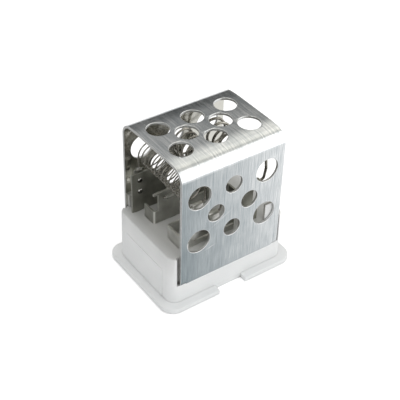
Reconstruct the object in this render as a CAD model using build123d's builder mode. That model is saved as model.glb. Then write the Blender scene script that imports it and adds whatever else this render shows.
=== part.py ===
from build123d import *
import os
from math import pi

# Blower motor resistor of a car heater. Three resistance coils hang in the fan's air stream on
# stamped terminals, under a folded and perforated aluminium guard. A moulded base closes the
# hole in the air duct and holds the connector socket on its underside.
# Units are millimetres. Z is up, X runs along the open ends of the guard, and the origin is at
# the centre of the underside of the flange.

os.makedirs("parts", exist_ok=True)

# Moulded base: flange, body and deck
flange_length = 65.8
flange_width = 49.2
flange_thickness = 2.4
flange_corner = 6.5
flange_edge_fillet = 0.5
keyway_width = 13.6
keyway_x = -0.4
body_length = 58.4
body_width = 41.8
body_corner = 4.5
body_draft = 0.9
deck_height = 25.5
deck_thickness = 3.0
deck_edge_fillet = 0.7
body_wall = 2.4
end_pad_width = 28.0
end_pad_top = 17.0
end_pad_rise = 0.15

# Guide posts that stand on the deck inside the guard
post_length = 3.4
post_thickness = 1.2
post_rise = 5.8
post_inset = 1.0
post_clearance = 0.1
stop_length = 5.8
stop_rise = 8.0

# Recesses in the long sides of the base, that the guard sits in
guard_fit = 0.05
recess_gap = 1.2
recess_groove = 1.0
groove_overlap = 0.3

# Connector socket on the underside
socket_partition = 1.6
socket_side_room = 4.8
socket_far_room = 2.4
key_rib_width = 1.2
key_rib_depth = 1.4
latch_width = 8.0
latch_depth = 1.0
latch_height = 2.0
latch_z = 4.0
core_rib = 1.2

# Perforated guard, one folded sheet
guard_length = 50.0
guard_top = 68.7
guard_foot = 11.2
guard_sheet = 1.1
guard_proud = 0.3
guard_bend = 6.0
hole_pitch = 16.4
top_hole = 9.6
top_row = 8.1
side_hole_corner = 10.8
side_hole_inner = 8.0
side_hole_z = 42.3
side_row = 10.9
stake_width = 3.0
stake_height = 1.6
stake_depth = 0.5
stake_clearance = 0.2

# Resistance coils
coil_spacing = 15.6
coil_axis_z = 53.0
coil_outer = 11.8
fine_wire = 0.6
medium_wire = 0.9
heavy_wire = 1.2
fine_turns = 12.5
medium_turns = 9.5
heavy_turns = 7.5
lead_run = 4.0
lead_bend = 5.0
near_bend = 1.6
near_stub = 0.5
lead_sway = 1.0

# Stamped terminals
strip = 0.8
fold_inside = 0.4
far_plane = 14.9
near_plane = -16.4
fuse_plane = 3.8
rear_plane = -6.0
wall_rise = 6.3
link_rise = 5.0
far_plate_top = 45.1
fuse_plate_top = 41.0
blade_width = 6.3
blade_length = 13.5
blade_tip = 1.2
blade_row_far = 7.5
blade_row_near = -11.2
slot_clearance = 0.12
tang_width = 3.0
tang_depth = 2.0
far_left_start = -25.2
far_left_shoulder = -14.8
far_left_fold_x = -7.3
far_right_fold_x = 6.7
far_right_end = 14.5
far_right_start = 2.6
fuse_fold_x = -21.3
fuse_step = -19.4
fuse_end = -9.2
fuse_wall_end = 4.6
near_fold_x = -21.1
near_rear_end = -12.0
near_end = 4.5
fine_tab_start = -16.2
fine_tab_end = -11.6
fine_tab_top = 45.2
medium_tab_start = -8.2
medium_tab_end = -3.4
medium_tab_top = 37.3
medium_lead_turn = -1.6
medium_lead_knee = 41.5
link_start = 8.4
link_fold_x = 16.8
link_neck_end = 13.8
link_tab_start = 11.2
link_tab_end = 17.4
link_tab_top = 43.8
link_head = 1.5
link_far_start = 9.6
link_far_step = 14.6
finger_reach = 2.3
finger_height = 1.0
relief_slot = 0.9
relief_z = 2.9
relief_length = 8.5
relief_places = (-11.5, 0.2)

# Joints between wires and terminals
crimp_clearance = 0.05
curl_set = 0.1
clip_sheet = 0.5
clip_width = 4.4
clip_rise = 1.3
clip_length = 13.2
clip_groove = 3.0
rivet_shank = 1.4
rivet_head = 2.4
rivet_dome = 0.45
rivet_clearance = 0.05
rivet_taper = 35
rivet_drops = (3.9, 9.5)
solder_rise = 1.0
solder_spread = 1.1
solder_hollow = 0.2
solder_film = 0.05

# Thermal cut-off
cutoff_z = 38.0
cutoff_x = -1.0
cutoff_case = 4.0
cutoff_length = 9.0
cutoff_wire = 1.0
cutoff_rim = 0.4
seal_length = 1.8
seal_tip = 2.0
barrel_length = 5.4
barrel_inset = 1.8
lead_stub = 1.0

# Fits and places that follow from the sizes above
half_strip = strip / 2
fold_radius = fold_inside + half_strip
deck_underside = deck_height - deck_thickness
socket_wall_top = deck_height - deck_thickness / 2
body_side = body_width / 2
guard_width = 2 * (body_side + guard_proud)
guard_inside = guard_width / 2 - guard_sheet
recess_floor = guard_inside - guard_fit
core_length = body_length - 2 * body_wall
core_width = body_width - 2 * body_wall
far_face = far_plane + half_strip
wall_top = deck_height + wall_rise
link_top = deck_height + link_rise
clip_top = far_plate_top + clip_rise
blade_foot = deck_underside - blade_length
columns = (fuse_fold_x, far_left_fold_x, far_right_fold_x)
socket_end = far_right_fold_x + socket_side_room
socket_far = blade_row_far + blade_width / 2 + socket_far_room


def coil_radius(wire):
    """Mean radius of a coil wound to the common outer diameter."""
    return (coil_outer - wire) / 2


def far_lead_y(wire):
    """Axis of a lead held against the rear face of a far plate."""
    return far_face + crimp_clearance + wire / 2


def near_lead_y(wire):
    """Axis of a lead held in a curl rolled from a near wall."""
    return near_plane + half_strip + curl_set + crimp_clearance + wire / 2


def curl_profile(wire, x, z):
    """Curl rolled from the top edge of a near wall round the end of a wire, seen along X."""
    bore = wire / 2 + crimp_clearance
    with BuildSketch(Plane.YZ.offset(x)) as curl:
        with Locations((near_lead_y(wire), z)):
            Circle(bore + strip)
            Circle(bore, mode=Mode.SUBTRACT)
    return curl.sketch


def blade_profile(x, row):
    """Flat connector blade below the deck, seen along X."""
    half = blade_width / 2
    with BuildSketch(Plane.YZ.offset(x)) as blade:
        with BuildLine():
            Polyline(
                (row - half, deck_height),
                (row - half, blade_foot + blade_tip),
                (row - half + blade_tip, blade_foot),
                (row + half - blade_tip, blade_foot),
                (row + half, blade_foot + blade_tip),
                (row + half, deck_height),
                close=True,
            )
        make_face()
    return blade.sketch


def tang_profile(x, y):
    """Locating tang under a plate, seen from below."""
    with BuildSketch(Plane.XY.offset(deck_height)) as tang:
        with Locations((x, y)):
            Rectangle(tang_width, strip)
    return tang.sketch


def plate_profile(y, corners):
    """Upright plate in the XZ plane at y, given by its corners in X and Z."""
    with BuildSketch(Plane.XZ.offset(-y)) as plate:
        with BuildLine():
            Polyline(*corners, close=True)
        make_face()
    return plate.sketch


def stake_profile(x):
    """Lower corners of both guard sides, pressed inwards, seen along X."""
    tip = guard_inside - stake_depth
    with BuildSketch(Plane.YZ.offset(x)) as stake:
        with BuildLine():
            Polyline(
                (guard_width / 2, guard_foot + stake_height),
                (guard_inside, guard_foot + stake_height),
                (tip, guard_foot + guard_sheet),
                (tip, guard_foot),
                (tip + guard_sheet, guard_foot),
                close=True,
            )
        make_face()
        mirror(about=Plane.YZ)
    return stake.sketch


# Moulded base
with BuildPart() as base_housing:
    with BuildSketch(Plane.XY):
        RectangleRounded(flange_length, flange_width, flange_corner)
    extrude(amount=flange_thickness)
    flange_edges = base_housing.edges().filter_by(Axis.Z, reverse=True)
    fillet(flange_edges, flange_edge_fillet)
    with BuildSketch(Plane.XY):
        with Locations((keyway_x, -flange_width / 2)):
            Rectangle(keyway_width, flange_width - body_width)
    extrude(amount=flange_thickness, mode=Mode.SUBTRACT)
    with BuildSketch(Plane.XY):
        RectangleRounded(body_length, body_width, body_corner)
    extrude(amount=deck_height, taper=body_draft)
    deck_edges = base_housing.edges().group_by(Axis.Z)[-1]
    fillet(deck_edges, deck_edge_fillet)
    pad_reach = body_length + 2 * end_pad_rise
    with BuildSketch(Plane.XY.offset(flange_thickness)):
        Rectangle(pad_reach, end_pad_width)
    extrude(amount=end_pad_top - flange_thickness, taper=body_draft)
    # Guide posts just inside the ends of the guard, longer and taller on the right
    post_end = guard_length / 2 - post_inset
    post_y = guard_inside - post_clearance - post_thickness / 2
    with BuildSketch(Plane.XY.offset(deck_height - deck_edge_fillet)):
        with Locations(*[(post_length / 2 - post_end, y) for y in (-post_y, post_y)]):
            Rectangle(post_length, post_thickness)
    extrude(amount=post_rise + deck_edge_fillet)
    with BuildSketch(Plane.XY.offset(deck_height - deck_edge_fillet)):
        with Locations(*[(post_end - stop_length / 2, y) for y in (-post_y, post_y)]):
            Rectangle(stop_length, post_thickness)
    extrude(amount=stop_rise + deck_edge_fillet)
    # Hollow underside with the socket walls left standing
    with BuildSketch(Plane.XY):
        RectangleRounded(core_length, core_width, body_corner - body_wall)
    extrude(amount=deck_underside, mode=Mode.SUBTRACT)
    partition_x = socket_end + socket_partition / 2
    partition_y = socket_far + socket_partition / 2
    with BuildSketch(Plane.XY):
        with Locations((partition_x, 0)):
            Rectangle(socket_partition, core_width)
        with Locations(((socket_end - core_length / 2) / 2, partition_y)):
            Rectangle(socket_end + core_length / 2, socket_partition)
        with Locations(((socket_end + core_length / 2) / 2, 0)):
            Rectangle(core_length / 2 - socket_end, core_rib)
    extrude(amount=socket_wall_top)
    # Keying ribs between the blades, and the ledge that the plug's latch catches
    key_xs = [(a + b) / 2 for a, b in zip(columns, columns[1:])]
    with BuildSketch(Plane.XY):
        for key_x in key_xs:
            with Locations((key_x, socket_far - key_rib_depth / 2)):
                Rectangle(key_rib_width, key_rib_depth)
    extrude(amount=socket_wall_top)
    with BuildSketch(Plane.XZ.offset(-(blade_row_far + blade_row_near) / 2)):
        with BuildLine():
            Polyline(
                (socket_end, latch_z),
                (socket_end - latch_depth, latch_z + latch_depth),
                (socket_end - latch_depth, latch_z + latch_height),
                (socket_end, latch_z + latch_height),
                close=True,
            )
        make_face()
    extrude(amount=latch_width / 2, both=True)
    # Slots through the deck for the blades
    slot_length = blade_width + 2 * slot_clearance
    slot_width = strip + 2 * slot_clearance
    with BuildSketch(Plane.XY.offset(deck_underside)):
        with Locations(*[(x, blade_row_far) for x in columns]):
            Rectangle(slot_width, slot_length)
        with Locations((near_fold_x, blade_row_near)):
            Rectangle(slot_width, slot_length)
    extrude(amount=deck_thickness, mode=Mode.SUBTRACT)
    # Blind slots for the tangs under the far plates, the fuse plate and the link
    tang_length = tang_width + 2 * slot_clearance
    tang_places = [
        (far_left_start + tang_width, far_plane),
        (far_right_end - tang_width, far_plane),
        (fuse_end - tang_width, fuse_plane),
        (near_end - tang_width, near_plane),
        (link_start + tang_width, near_plane),
        (link_far_start + tang_width, fuse_plane),
    ]
    with BuildSketch(Plane.XY.offset(deck_height)):
        with Locations(*tang_places):
            Rectangle(tang_length, slot_width)
    extrude(amount=-(tang_depth + slot_clearance), mode=Mode.SUBTRACT)
    # Recesses that the sides of the guard sit in, with a deeper groove at each end
    recess_depth = body_side - recess_floor
    recess_height = deck_height - guard_foot
    with BuildSketch(Plane.XY.offset(guard_foot)):
        with GridLocations(0, body_width, 1, 2):
            Rectangle(guard_length + 2 * recess_gap, 2 * recess_depth)
    extrude(amount=recess_height, mode=Mode.SUBTRACT)
    groove_width = recess_gap + groove_overlap
    groove_x = guard_length / 2 + recess_gap - groove_width / 2
    with BuildSketch(Plane.XY.offset(guard_foot)):
        with GridLocations(2 * groove_x, body_width, 2, 2):
            Rectangle(groove_width, 2 * (recess_depth + recess_groove))
    extrude(amount=recess_height, mode=Mode.SUBTRACT)
    # Pockets for the staked corners of the guard
    pocket_length = stake_width + stake_clearance
    pocket_x = (guard_length - pocket_length) / 2
    pocket_depth = body_side - guard_inside + stake_depth + stake_clearance
    with BuildSketch(Plane.XY.offset(guard_foot)):
        with GridLocations(2 * pocket_x, body_width, 2, 2):
            Rectangle(pocket_length, 2 * pocket_depth)
    extrude(amount=stake_height + stake_clearance, mode=Mode.SUBTRACT)
base_housing.part.label = "base_housing"
export_step(base_housing.part, "parts/base_housing.step")

# Perforated guard
with BuildPart() as guard_cage:
    side = guard_width / 2 - guard_sheet / 2
    crown = guard_top - guard_sheet / 2
    with BuildSketch(Plane.YZ.offset(-guard_length / 2)):
        with BuildLine():
            FilletPolyline(
                (-side, guard_foot),
                (-side, crown),
                (side, crown),
                (side, guard_foot),
                radius=guard_bend - guard_sheet / 2,
            )
        trace(line_width=guard_sheet)
    extrude(amount=guard_length)
    # Three, two and three holes in each of the three faces
    with BuildSketch(Plane.XY.offset(guard_top)):
        with GridLocations(hole_pitch, 2 * top_row, 3, 2):
            Circle(top_hole / 2)
        with GridLocations(hole_pitch, 0, 2, 1):
            Circle(top_hole / 2)
    extrude(amount=-guard_bend, mode=Mode.SUBTRACT)
    with BuildSketch(Plane.XZ):
        with Locations((0, side_hole_z)):
            with GridLocations(2 * hole_pitch, 2 * side_row, 2, 2):
                Circle(side_hole_corner / 2)
            with GridLocations(0, 2 * side_row, 1, 2):
                Circle(side_hole_inner / 2)
            with GridLocations(hole_pitch, 0, 2, 1):
                Circle(side_hole_inner / 2)
    extrude(amount=guard_width, both=True, mode=Mode.SUBTRACT)
    # The lower corners are staked inwards, into the pockets of the base
    stake_x = guard_length / 2 - stake_width / 2
    with BuildSketch(Plane.XY.offset(guard_foot)):
        with GridLocations(2 * stake_x, 2 * side, 2, 2):
            Rectangle(stake_width, 2 * guard_sheet)
    extrude(amount=stake_height, mode=Mode.SUBTRACT)
    for stake_start in (-guard_length / 2, guard_length / 2 - stake_width):
        extrude(stake_profile(stake_start), amount=stake_width)
guard_cage.part.label = "guard_cage"
export_step(guard_cage.part, "parts/guard_cage.step")


def wound_coil(centre_x, wire, turns, start_side, near_route):
    """Coil from a far plate to a near wall, with a lead down at each end.

    start_side is -1 where the far lead rises on the left and 1 on the right. near_route lists
    the places in X and Z that the near lead passes on its way through its curl.
    """
    radius = coil_radius(wire)
    far_y = far_lead_y(wire)
    near_y = near_lead_y(wire)
    pitch = (far_y - near_y) / (turns + lead_run / (pi * radius))
    creep = lead_run * pitch / (2 * pi * radius)
    far_x = centre_x + start_side * radius
    near_x = centre_x - start_side * radius
    drop_z = coil_axis_z - lead_run
    winding = Plane((centre_x, far_y - creep, coil_axis_z), (start_side, 0, 0), (0, -1, 0))
    turn_path = winding.location * Helix(pitch, pitch * turns, radius, lefthand=start_side < 0)
    with BuildPart() as coil:
        with BuildSketch(Plane(turn_path @ 0, z_dir=turn_path % 0)):
            Circle(wire / 2)
        sweep(path=turn_path, is_frenet=True)
        with BuildLine() as far_lead:
            FilletPolyline(
                (far_x, far_y, clip_top - clip_groove + crimp_clearance),
                (far_x, far_y, drop_z),
                turn_path @ 0,
                radius=lead_bend,
            )
        with BuildSketch(Plane(far_lead.line @ 0, z_dir=far_lead.line % 0)):
            Circle(wire / 2)
        sweep(path=far_lead.line)
        with BuildLine() as near_lead:
            FilletPolyline(
                turn_path @ 1,
                (near_x, near_y, drop_z),
                *[(x, near_y, z) for x, z in near_route],
                radius=near_bend,
            )
        with BuildSketch(Plane(near_lead.line @ 0, z_dir=near_lead.line % 0)):
            Circle(wire / 2)
        sweep(path=near_lead.line)
    return coil


fine_coil = wound_coil(
    -coil_spacing,
    fine_wire,
    fine_turns,
    -1,
    [
        (coil_radius(fine_wire) - coil_spacing, fine_tab_top),
        (fine_tab_start - near_stub, fine_tab_top),
    ],
)
fine_coil.part.label = "fine_coil"
export_step(fine_coil.part, "parts/fine_coil.step")

medium_coil = wound_coil(
    0,
    medium_wire,
    medium_turns,
    1,
    [
        (medium_lead_turn, medium_lead_knee),
        (medium_lead_turn, medium_tab_top),
        (medium_tab_start - near_stub, medium_tab_top),
    ],
)
medium_coil.part.label = "medium_coil"
export_step(medium_coil.part, "parts/medium_coil.step")

heavy_coil = wound_coil(
    coil_spacing,
    heavy_wire,
    heavy_turns,
    -1,
    [
        (coil_spacing + coil_radius(heavy_wire) - lead_sway, link_tab_top),
        (link_tab_start - near_stub, link_tab_top),
    ],
)
heavy_coil.part.label = "heavy_coil"
export_step(heavy_coil.part, "parts/heavy_coil.step")

# Far left terminal: the tall plate that the fine coil is clipped to
fine_lead_x = -coil_spacing - coil_radius(fine_wire)
medium_lead_x = coil_radius(medium_wire)
heavy_lead_x = coil_spacing - coil_radius(heavy_wire)
lead_xs = (fine_lead_x, medium_lead_x, heavy_lead_x)
wires = (fine_wire, medium_wire, heavy_wire)
blade_far_edge = blade_row_far - blade_width / 2
with BuildPart() as far_left_terminal:
    with BuildSketch(Plane.XY.offset(deck_height)):
        with BuildLine():
            FilletPolyline(
                (far_left_start, far_plane),
                (far_left_fold_x, far_plane),
                (far_left_fold_x, blade_far_edge),
                radius=fold_radius,
            )
        trace(line_width=strip)
    extrude(amount=wall_rise)
    plate_corners = [
        (far_left_start, wall_top),
        (far_left_start, far_plate_top),
        (far_left_shoulder, far_plate_top),
        (far_left_fold_x - fold_radius, wall_top),
    ]
    extrude(plate_profile(far_plane, plate_corners), amount=half_strip, both=True)
    extrude(blade_profile(far_left_fold_x, blade_row_far), amount=half_strip, both=True)
    extrude(tang_profile(far_left_start + tang_width, far_plane), amount=-tang_depth)
    with BuildSketch(Plane.XZ.offset(-far_plane)):
        with Locations(*[(fine_lead_x, far_plate_top - drop) for drop in rivet_drops]):
            Circle(rivet_shank / 2 + rivet_clearance)
    extrude(amount=strip, both=True, mode=Mode.SUBTRACT)
far_left_terminal.part.label = "far_left_terminal"
export_step(far_left_terminal.part, "parts/far_left_terminal.step")

# Far right terminal: joins the medium and the heavy coil
with BuildPart() as far_right_terminal:
    with BuildSketch(Plane.XY.offset(deck_height)):
        with BuildLine():
            FilletPolyline(
                (far_right_end, far_plane),
                (far_right_fold_x, far_plane),
                (far_right_fold_x, blade_far_edge),
                radius=fold_radius,
            )
        trace(line_width=strip)
    extrude(amount=wall_rise)
    plate_corners = [
        (far_right_fold_x + fold_radius, wall_top),
        (far_right_fold_x + fold_radius, wall_top + relief_slot),
        (far_right_start, wall_top + relief_slot),
        (far_right_start, far_plate_top),
        (far_right_end, far_plate_top),
        (far_right_end, wall_top),
    ]
    extrude(plate_profile(far_plane, plate_corners), amount=half_strip, both=True)
    extrude(blade_profile(far_right_fold_x, blade_row_far), amount=half_strip, both=True)
    extrude(tang_profile(far_right_end - tang_width, far_plane), amount=-tang_depth)
    rivet_places = [
        (x, far_plate_top - drop) for x in (medium_lead_x, heavy_lead_x) for drop in rivet_drops
    ]
    with BuildSketch(Plane.XZ.offset(-far_plane)):
        with Locations(*rivet_places):
            Circle(rivet_shank / 2 + rivet_clearance)
    extrude(amount=strip, both=True, mode=Mode.SUBTRACT)
far_right_terminal.part.label = "far_right_terminal"
export_step(far_right_terminal.part, "parts/far_right_terminal.step")

# Fuse terminal: brings the current in through the thermal cut-off
barrel_bore = cutoff_wire / 2 + crimp_clearance
barrel_y = fuse_plane - half_strip - curl_set - barrel_bore
left_barrel_x = fuse_end - barrel_inset - barrel_length / 2
with BuildPart() as fuse_terminal:
    with BuildSketch(Plane.XY.offset(deck_height)):
        with BuildLine():
            FilletPolyline(
                (fuse_wall_end, fuse_plane),
                (fuse_fold_x, fuse_plane),
                (fuse_fold_x, blade_row_far + blade_width / 2),
                radius=fold_radius,
            )
        trace(line_width=strip)
    extrude(amount=wall_rise)
    plate_corners = [
        (fuse_step, wall_top),
        (fuse_step, fuse_plate_top - finger_height),
        (fuse_step - finger_reach, fuse_plate_top - finger_height),
        (fuse_step - finger_reach, fuse_plate_top),
        (fuse_end, fuse_plate_top),
        (fuse_end, wall_top),
    ]
    extrude(plate_profile(fuse_plane, plate_corners), amount=half_strip, both=True)
    extrude(blade_profile(fuse_fold_x, blade_row_far), amount=half_strip, both=True)
    extrude(tang_profile(fuse_end - tang_width, fuse_plane), amount=-tang_depth)
    with BuildSketch(Plane.YZ.offset(left_barrel_x)):
        with Locations((barrel_y, cutoff_z)):
            Circle(barrel_bore + half_strip)
            Circle(barrel_bore, mode=Mode.SUBTRACT)
    extrude(amount=barrel_length / 2, both=True)
fuse_terminal.part.label = "fuse_terminal"
export_step(fuse_terminal.part, "parts/fuse_terminal.step")

# Near left terminal: a channel in plan, joins the fine and the medium coil
with BuildPart() as near_left_terminal:
    with BuildSketch(Plane.XY.offset(deck_height)):
        with BuildLine():
            FilletPolyline(
                (near_rear_end, rear_plane),
                (near_fold_x, rear_plane),
                (near_fold_x, near_plane),
                (near_end, near_plane),
                radius=fold_radius,
            )
        trace(line_width=strip)
    extrude(amount=wall_rise)
    fine_tab_corners = [
        (fine_tab_start, wall_top),
        (fine_tab_start, fine_tab_top),
        (fine_tab_end, fine_tab_top),
        (fine_tab_end, wall_top),
    ]
    extrude(plate_profile(near_plane, fine_tab_corners), amount=half_strip, both=True)
    medium_tab_corners = [
        (medium_tab_start, wall_top),
        (medium_tab_start, medium_tab_top),
        (medium_tab_end, medium_tab_top),
        (medium_tab_end, wall_top),
    ]
    extrude(plate_profile(near_plane, medium_tab_corners), amount=half_strip, both=True)
    fine_curl = curl_profile(fine_wire, fine_tab_start, fine_tab_top)
    extrude(fine_curl, amount=fine_tab_end - fine_tab_start)
    medium_curl = curl_profile(medium_wire, medium_tab_start, medium_tab_top)
    extrude(medium_curl, amount=medium_tab_end - medium_tab_start)
    extrude(blade_profile(near_fold_x, blade_row_near), amount=half_strip, both=True)
    extrude(tang_profile(near_end - tang_width, near_plane), amount=-tang_depth)
    with BuildSketch(Plane.XZ.offset(-near_plane)):
        with Locations(*[(x, deck_height + relief_z) for x in relief_places]):
            SlotOverall(relief_length, relief_slot)
    extrude(amount=strip, both=True, mode=Mode.SUBTRACT)
near_left_terminal.part.label = "near_left_terminal"
export_step(near_left_terminal.part, "parts/near_left_terminal.step")

# Fuse link: carries the current from the heavy coil across to the thermal cut-off
right_barrel_x = link_far_start + barrel_length / 2
with BuildPart() as fuse_link:
    with BuildSketch(Plane.XY.offset(deck_height)):
        with BuildLine():
            FilletPolyline(
                (link_start, near_plane),
                (link_fold_x, near_plane),
                (link_fold_x, fuse_plane),
                (link_far_start, fuse_plane),
                radius=fold_radius,
            )
        trace(line_width=strip)
    extrude(amount=link_rise)
    tab_corners = [
        (link_start, link_top),
        (link_start, link_tab_top),
        (link_tab_end, link_tab_top),
        (link_tab_end, link_tab_top - link_head),
        (link_neck_end, link_tab_top - link_head),
        (link_neck_end, link_top),
    ]
    extrude(plate_profile(near_plane, tab_corners), amount=half_strip, both=True)
    heavy_curl = curl_profile(heavy_wire, link_tab_start, link_tab_top)
    extrude(heavy_curl, amount=link_tab_end - link_tab_start)
    far_corners = [
        (link_far_start, link_top),
        (link_far_start, fuse_plate_top),
        (link_far_step, fuse_plate_top),
        (link_far_step, link_top),
    ]
    extrude(plate_profile(fuse_plane, far_corners), amount=half_strip, both=True)
    with BuildSketch(Plane.YZ.offset(right_barrel_x)):
        with Locations((barrel_y, cutoff_z)):
            Circle(barrel_bore + half_strip)
            Circle(barrel_bore, mode=Mode.SUBTRACT)
    extrude(amount=barrel_length / 2, both=True)
    extrude(tang_profile(link_start + tang_width, near_plane), amount=-tang_depth)
    extrude(tang_profile(link_far_start + tang_width, fuse_plane), amount=-tang_depth)
fuse_link.part.label = "fuse_link"
export_step(fuse_link.part, "parts/fuse_link.step")


def lead_clip(x, wire):
    """Saddle riveted behind a far plate, with a groove over the end of a lead."""
    bore = wire / 2 + crimp_clearance
    clip_foot = clip_top - clip_length
    with BuildPart() as clip:
        with BuildSketch(Plane.XZ.offset(-far_face)):
            with Locations((x, clip_foot + clip_length / 2)):
                Rectangle(clip_width, clip_length)
            with Locations(*[(x, far_plate_top - drop) for drop in rivet_drops]):
                Circle(rivet_shank / 2 + rivet_clearance, mode=Mode.SUBTRACT)
        extrude(amount=-clip_sheet)
        with BuildSketch(Plane.XY.offset(clip_top)):
            with Locations((x, far_face + bore)):
                Circle(bore + clip_sheet)
            with Locations((x, far_face - clip_width)):
                Rectangle(2 * clip_width, 2 * clip_width, mode=Mode.SUBTRACT)
        extrude(amount=-clip_groove)
        with BuildSketch(Plane.XY.offset(clip_top)):
            with Locations((x, far_face + bore)):
                Circle(bore)
            with Locations((x, far_face + bore / 2)):
                Rectangle(2 * bore, bore)
        extrude(amount=-clip_groove, mode=Mode.SUBTRACT)
    return clip


fine_clip = lead_clip(fine_lead_x, fine_wire)
fine_clip.part.label = "fine_lead_clip"
export_step(fine_clip.part, "parts/fine_lead_clip.step")

medium_clip = lead_clip(medium_lead_x, medium_wire)
medium_clip.part.label = "medium_lead_clip"
export_step(medium_clip.part, "parts/medium_lead_clip.step")

heavy_clip = lead_clip(heavy_lead_x, heavy_wire)
heavy_clip.part.label = "heavy_lead_clip"
export_step(heavy_clip.part, "parts/heavy_lead_clip.step")

# Rivets that hold the clips, two to a clip
with BuildPart() as clip_rivets:
    for lead_x in lead_xs:
        for drop in rivet_drops:
            front = Plane((lead_x, far_plane - half_strip, far_plate_top - drop), z_dir=(0, 1, 0))
            with BuildSketch(front):
                Circle(rivet_shank / 2)
            extrude(amount=strip + clip_sheet)
            with BuildSketch(front):
                Circle(rivet_head / 2)
            extrude(amount=-rivet_dome, taper=rivet_taper)
            with BuildSketch(front.offset(strip + clip_sheet)):
                Circle(rivet_head / 2)
            extrude(amount=rivet_dome, taper=rivet_taper)
clip_rivets.part.label = "clip_rivets"
export_step(clip_rivets.part, "parts/clip_rivets.step")

# Solder beads that close the clips round the leads
with BuildPart() as solder_beads:
    for lead_x, wire in zip(lead_xs, wires):
        bead_y = far_lead_y(wire)
        bore = wire / 2 + solder_film
        with BuildSketch(Plane.XZ.offset(-bead_y)):
            with BuildLine():
                Line((lead_x + bore, clip_top), (lead_x + bore + solder_spread, clip_top))
                SagittaArc(
                    (lead_x + bore + solder_spread, clip_top),
                    (lead_x + bore, clip_top + solder_rise),
                    solder_hollow,
                )
                Line((lead_x + bore, clip_top + solder_rise), (lead_x + bore, clip_top))
            make_face()
        revolve(axis=Axis((lead_x, bead_y, 0), (0, 0, 1)))
solder_beads.part.label = "solder_beads"
export_step(solder_beads.part, "parts/solder_beads.step")

# Thermal cut-off: case, resin seal and its two leads
case_axis = Plane((cutoff_x, barrel_y, cutoff_z), z_dir=(1, 0, 0))
with BuildPart() as cutoff_case_part:
    with BuildSketch(case_axis):
        Circle(cutoff_case / 2)
    extrude(amount=cutoff_length / 2, both=True)
    fillet(cutoff_case_part.edges(), cutoff_rim)
cutoff_case_part.part.label = "cutoff_case"
export_step(cutoff_case_part.part, "parts/cutoff_case.step")

with BuildPart() as cutoff_seal:
    with BuildSketch(case_axis.offset(cutoff_length / 2)):
        Circle(cutoff_case / 2 - cutoff_rim)
    with BuildSketch(case_axis.offset(cutoff_length / 2 + seal_length)):
        Circle(seal_tip / 2)
    loft()
    with BuildSketch(case_axis.offset(cutoff_length / 2)):
        Circle(cutoff_wire / 2)
    extrude(amount=seal_length, mode=Mode.SUBTRACT)
cutoff_seal.part.label = "cutoff_seal"
export_step(cutoff_seal.part, "parts/cutoff_seal.step")

with BuildPart() as cutoff_left_lead:
    with BuildSketch(case_axis.offset(-cutoff_length / 2)):
        Circle(cutoff_wire / 2)
    left_reach = cutoff_x - cutoff_length / 2 - (left_barrel_x - barrel_length / 2 - lead_stub)
    extrude(amount=-left_reach)
cutoff_left_lead.part.label = "cutoff_left_lead"
export_step(cutoff_left_lead.part, "parts/cutoff_left_lead.step")

with BuildPart() as cutoff_right_lead:
    with BuildSketch(case_axis.offset(cutoff_length / 2)):
        Circle(cutoff_wire / 2)
    right_reach = right_barrel_x + barrel_length / 2 + lead_stub - (cutoff_x + cutoff_length / 2)
    extrude(amount=right_reach)
cutoff_right_lead.part.label = "cutoff_right_lead"
export_step(cutoff_right_lead.part, "parts/cutoff_right_lead.step")
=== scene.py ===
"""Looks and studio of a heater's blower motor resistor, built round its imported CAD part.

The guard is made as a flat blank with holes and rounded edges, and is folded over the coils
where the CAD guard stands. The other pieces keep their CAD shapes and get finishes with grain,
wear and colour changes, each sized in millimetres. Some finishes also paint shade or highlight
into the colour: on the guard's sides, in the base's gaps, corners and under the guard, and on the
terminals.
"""

from math import cos, pi, radians, sin

import bmesh
import bpy
from bpy.props import FloatProperty, FloatVectorProperty, IntProperty, PointerProperty
from mathutils import Matrix, Vector


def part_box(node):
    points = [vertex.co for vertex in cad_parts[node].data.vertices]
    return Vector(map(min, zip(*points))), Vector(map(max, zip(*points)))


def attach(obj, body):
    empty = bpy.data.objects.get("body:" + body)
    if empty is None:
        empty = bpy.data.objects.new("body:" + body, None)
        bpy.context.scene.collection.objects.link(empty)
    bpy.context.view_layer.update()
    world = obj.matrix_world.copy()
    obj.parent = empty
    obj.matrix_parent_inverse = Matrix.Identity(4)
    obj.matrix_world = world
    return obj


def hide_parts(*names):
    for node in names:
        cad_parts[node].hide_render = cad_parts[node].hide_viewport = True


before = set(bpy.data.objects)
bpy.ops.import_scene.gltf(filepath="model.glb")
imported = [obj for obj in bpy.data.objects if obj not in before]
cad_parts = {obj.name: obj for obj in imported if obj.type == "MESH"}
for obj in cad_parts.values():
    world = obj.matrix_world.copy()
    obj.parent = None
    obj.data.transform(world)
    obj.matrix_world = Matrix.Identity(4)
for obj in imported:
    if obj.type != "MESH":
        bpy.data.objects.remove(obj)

bl_info = {
    "name": "Blower Motor Resistor",
    "version": (1, 0, 0),
    "blender": (4, 5, 0),
    "location": "3D View > Sidebar > Resistor",
    "description": "Folds the guard and finishes the pieces of a heater's blower resistor",
    "category": "Object",
}

MM = 0.001
GUARD_LOW, GUARD_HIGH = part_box("guard_cage")
# A noise texture lies mostly between these values
NOISE_LOW, NOISE_HIGH = 0.3, 0.7
# Cosines between a face and its rounded normal: on an outer edge, and on an open face
EDGE_COSINE, OPEN_COSINE = 0.75, 0.995
# Products of a normal's x and y at the border and in the middle of an upright bend
BEND_BORDER, BEND_MIDDLE = 0.3, 0.48


def linear(hex_colour):
    """Linear RGBA of an sRGB colour written as #RRGGBB."""
    levels = [int(hex_colour[i : i + 2], 16) / 255 for i in (1, 3, 5)]
    curve = [c / 12.92 if c <= 0.04045 else ((c + 0.055) / 1.055) ** 2.4 for c in levels]
    return (*curve, 1.0)


def cells(size_mm):
    """Texture scale at which a pattern's features measure size_mm, for object coordinates."""
    return 1 / (size_mm * MM)


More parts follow.
